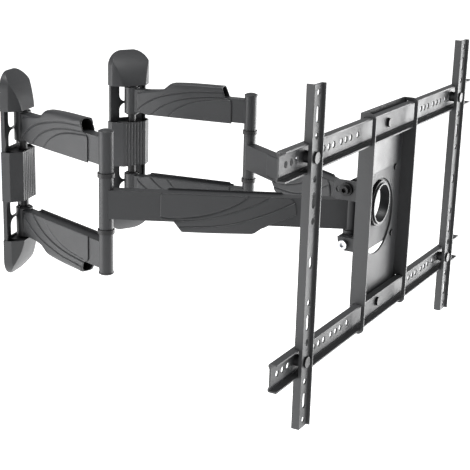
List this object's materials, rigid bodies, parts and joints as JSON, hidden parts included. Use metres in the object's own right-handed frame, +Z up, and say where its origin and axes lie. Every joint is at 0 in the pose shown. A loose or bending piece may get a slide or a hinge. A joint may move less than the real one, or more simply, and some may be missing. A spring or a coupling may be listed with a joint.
{
  "type": "full motion screen wall mount",
  "caption": "Full motion screen wall mount: two folding covered arms on narrow wall brackets, a tilt and level head, and a railed frame with slotted screen brackets.",
  "frame": {"origin": "middle of the left wall bracket's back face", "axes": "+Z up, +Y into the wall and away from the screen, +X to the right as seen facing the wall"},
  "size_m": [0.634, 0.5752, 0.42],
  "materials": {
    "wall_plate_left": "fine textured powder coat",
    "cap_top_left": "moulded, fine satin",
    "cover_mid_left": "moulded, fine satin",
    "cap_bottom_left": "moulded, fine satin",
    "pivot_pins_left": "zinc plated",
    "pivot_spacers_left": "zinc plated",
    "upper_link_left": "fine textured powder coat",
    "lower_link_left": "fine textured powder coat",
    "upper_link_cover_left": "moulded, fine satin",
    "lower_link_cover_left": "moulded, fine satin",
    "pivot_bushes_left": "plain",
    "elbow_shaft_left": "zinc plated",
    "elbow_caps_left": "moulded, fine satin",
    "forearm_left": "fine textured powder coat",
    "forearm_cover_left": "moulded, fine satin",
    "elbow_collars_left": "plain",
    "head_bushes_left": "plain",
    "head_block": "fine textured powder coat",
    "head_pins": "zinc plated",
    "tilt_pivot_bolts": "zinc plated",
    "tilt_lock_bolts": "black oxide",
    "tilt_lock_washers": "black oxide",
    "forearm_right": "fine textured powder coat",
    "forearm_cover_right": "moulded, fine satin",
    "elbow_collars_right": "plain",
    "head_bushes_right": "plain",
    "upper_link_right": "fine textured powder coat",
    "lower_link_right": "fine textured powder coat",
    "upper_link_cover_right": "moulded, fine satin",
    "lower_link_cover_right": "moulded, fine satin",
    "pivot_bushes_right": "plain",
    "elbow_shaft_right": "zinc plated",
    "elbow_caps_right": "moulded, fine satin",
    "wall_plate_right": "fine textured powder coat",
    "cap_top_right": "moulded, fine satin",
    "cover_mid_right": "moulded, fine satin",
    "cap_bottom_right": "moulded, fine satin",
    "pivot_pins_right": "zinc plated",
    "pivot_spacers_right": "zinc plated",
    "tilt_bracket": "fine textured powder coat",
    "hub_ring": "black oxide",
    "hub_ring_screws": "black oxide",
    "hub_plate": "fine textured powder coat",
    "hub_plate_screws": "black oxide",
    "centre_bracket": "fine textured powder coat",
    "centre_panel": "fine textured powder coat",
    "level_screw": "black oxide",
    "rail_upper": "fine textured powder coat",
    "rail_lower": "fine textured powder coat",
    "rail_bolts": "black oxide",
    "rail_spacers": "fine textured powder coat",
    "screen_bracket_left": "fine textured powder coat",
    "screen_bracket_right": "fine textured powder coat",
    "screen_bracket_bolts": "black oxide",
    "screen_bracket_spacers": "fine textured powder coat"
  },
  "bodies": {
    "wall_bracket_left": {"wall_plate_left": "wall_plate_left", "cap_top_left": "cap_top_left", "cover_mid_left": "cover_mid_left", "cap_bottom_left": "cap_bottom_left", "pivot_pins_left": "pivot_pins_left", "pivot_spacers_left": "pivot_spacers_left"},
    "arm_left": {"upper_link_left": "upper_link_left", "lower_link_left": "lower_link_left", "upper_link_cover_left": "upper_link_cover_left", "lower_link_cover_left": "lower_link_cover_left", "pivot_bushes_left": "pivot_bushes_left", "elbow_shaft_left": "elbow_shaft_left", "elbow_caps_left": "elbow_caps_left"},
    "forearm_pair_left": {"forearm_left": "forearm_left", "forearm_cover_left": "forearm_cover_left", "elbow_collars_left": "elbow_collars_left", "head_bushes_left": "head_bushes_left"},
    "head": {"head_block": "head_block", "head_pins": "head_pins", "tilt_pivot_bolts": "tilt_pivot_bolts", "tilt_lock_bolts": "tilt_lock_bolts", "tilt_lock_washers": "tilt_lock_washers"},
    "forearm_pair_right": {"forearm_right": "forearm_right", "forearm_cover_right": "forearm_cover_right", "elbow_collars_right": "elbow_collars_right", "head_bushes_right": "head_bushes_right"},
    "arm_right": {"upper_link_right": "upper_link_right", "lower_link_right": "lower_link_right", "upper_link_cover_right": "upper_link_cover_right", "lower_link_cover_right": "lower_link_cover_right", "pivot_bushes_right": "pivot_bushes_right", "elbow_shaft_right": "elbow_shaft_right", "elbow_caps_right": "elbow_caps_right"},
    "wall_bracket_right": {"wall_plate_right": "wall_plate_right", "cap_top_right": "cap_top_right", "cover_mid_right": "cover_mid_right", "cap_bottom_right": "cap_bottom_right", "pivot_pins_right": "pivot_pins_right", "pivot_spacers_right": "pivot_spacers_right"},
    "tilt_carriage": {"tilt_bracket": "tilt_bracket", "hub_ring": "hub_ring", "hub_ring_screws": "hub_ring_screws"},
    "screen_frame": {"hub_plate": "hub_plate", "hub_plate_screws": "hub_plate_screws", "centre_bracket": "centre_bracket", "centre_panel": "centre_panel", "level_screw": "level_screw", "rail_upper": "rail_upper", "rail_lower": "rail_lower", "rail_bolts": "rail_bolts", "rail_spacers": "rail_spacers", "screen_bracket_left": "screen_bracket_left", "screen_bracket_right": "screen_bracket_right", "screen_bracket_bolts": "screen_bracket_bolts", "screen_bracket_spacers": "screen_bracket_spacers"}
  },
  "joints": [
    {"name": "wall_swivel_left", "type": "hinge", "parent": "wall_bracket_left", "child": "arm_left", "pos_m": [0.00416, -0.01803, 0], "axis": [0, 0, 1], "range_deg": [-50, 115]},
    {"name": "elbow_left", "type": "hinge", "parent": "arm_left", "child": "forearm_pair_left", "pos_m": [-0.06594, -0.21598, 0], "axis": [0, 0, -1], "range_deg": [-44, 104]},
    {"name": "head_swivel_left", "type": "hinge", "parent": "forearm_pair_left", "child": "head", "pos_m": [0.08004, -0.51528, 0], "axis": [0, 0, -1], "range_deg": [-20, 40]},
    {"name": "head_swivel_right", "type": "hinge", "parent": "head", "child": "forearm_pair_right", "pos_m": [0.12404, -0.51528, 0], "axis": [0, 0, 1], "range_deg": [-30, 20]},
    {"name": "elbow_right", "type": "hinge", "parent": "forearm_pair_right", "child": "arm_right", "pos_m": [0.3054, -0.236, 0], "axis": [0, 0, 1], "range_deg": [-40, 100]},
    {"name": "wall_swivel_right", "type": "hinge", "parent": "arm_right", "child": "wall_bracket_right", "pos_m": [0.27618, -0.02805, 0], "axis": [0, 0, 1], "range_deg": [-48, 115]},
    {"name": "tilt", "type": "hinge", "parent": "head", "child": "tilt_carriage", "pos_m": [0.10204, -0.51528, -0.038], "axis": [1, 0, 0], "range_deg": [-4, 8]},
    {"name": "level", "type": "hinge", "parent": "tilt_carriage", "child": "screen_frame", "pos_m": [0.10204, -0.56328, 0.014], "axis": [0, 1, 0], "range_deg": [-3, 3]}
  ]
}
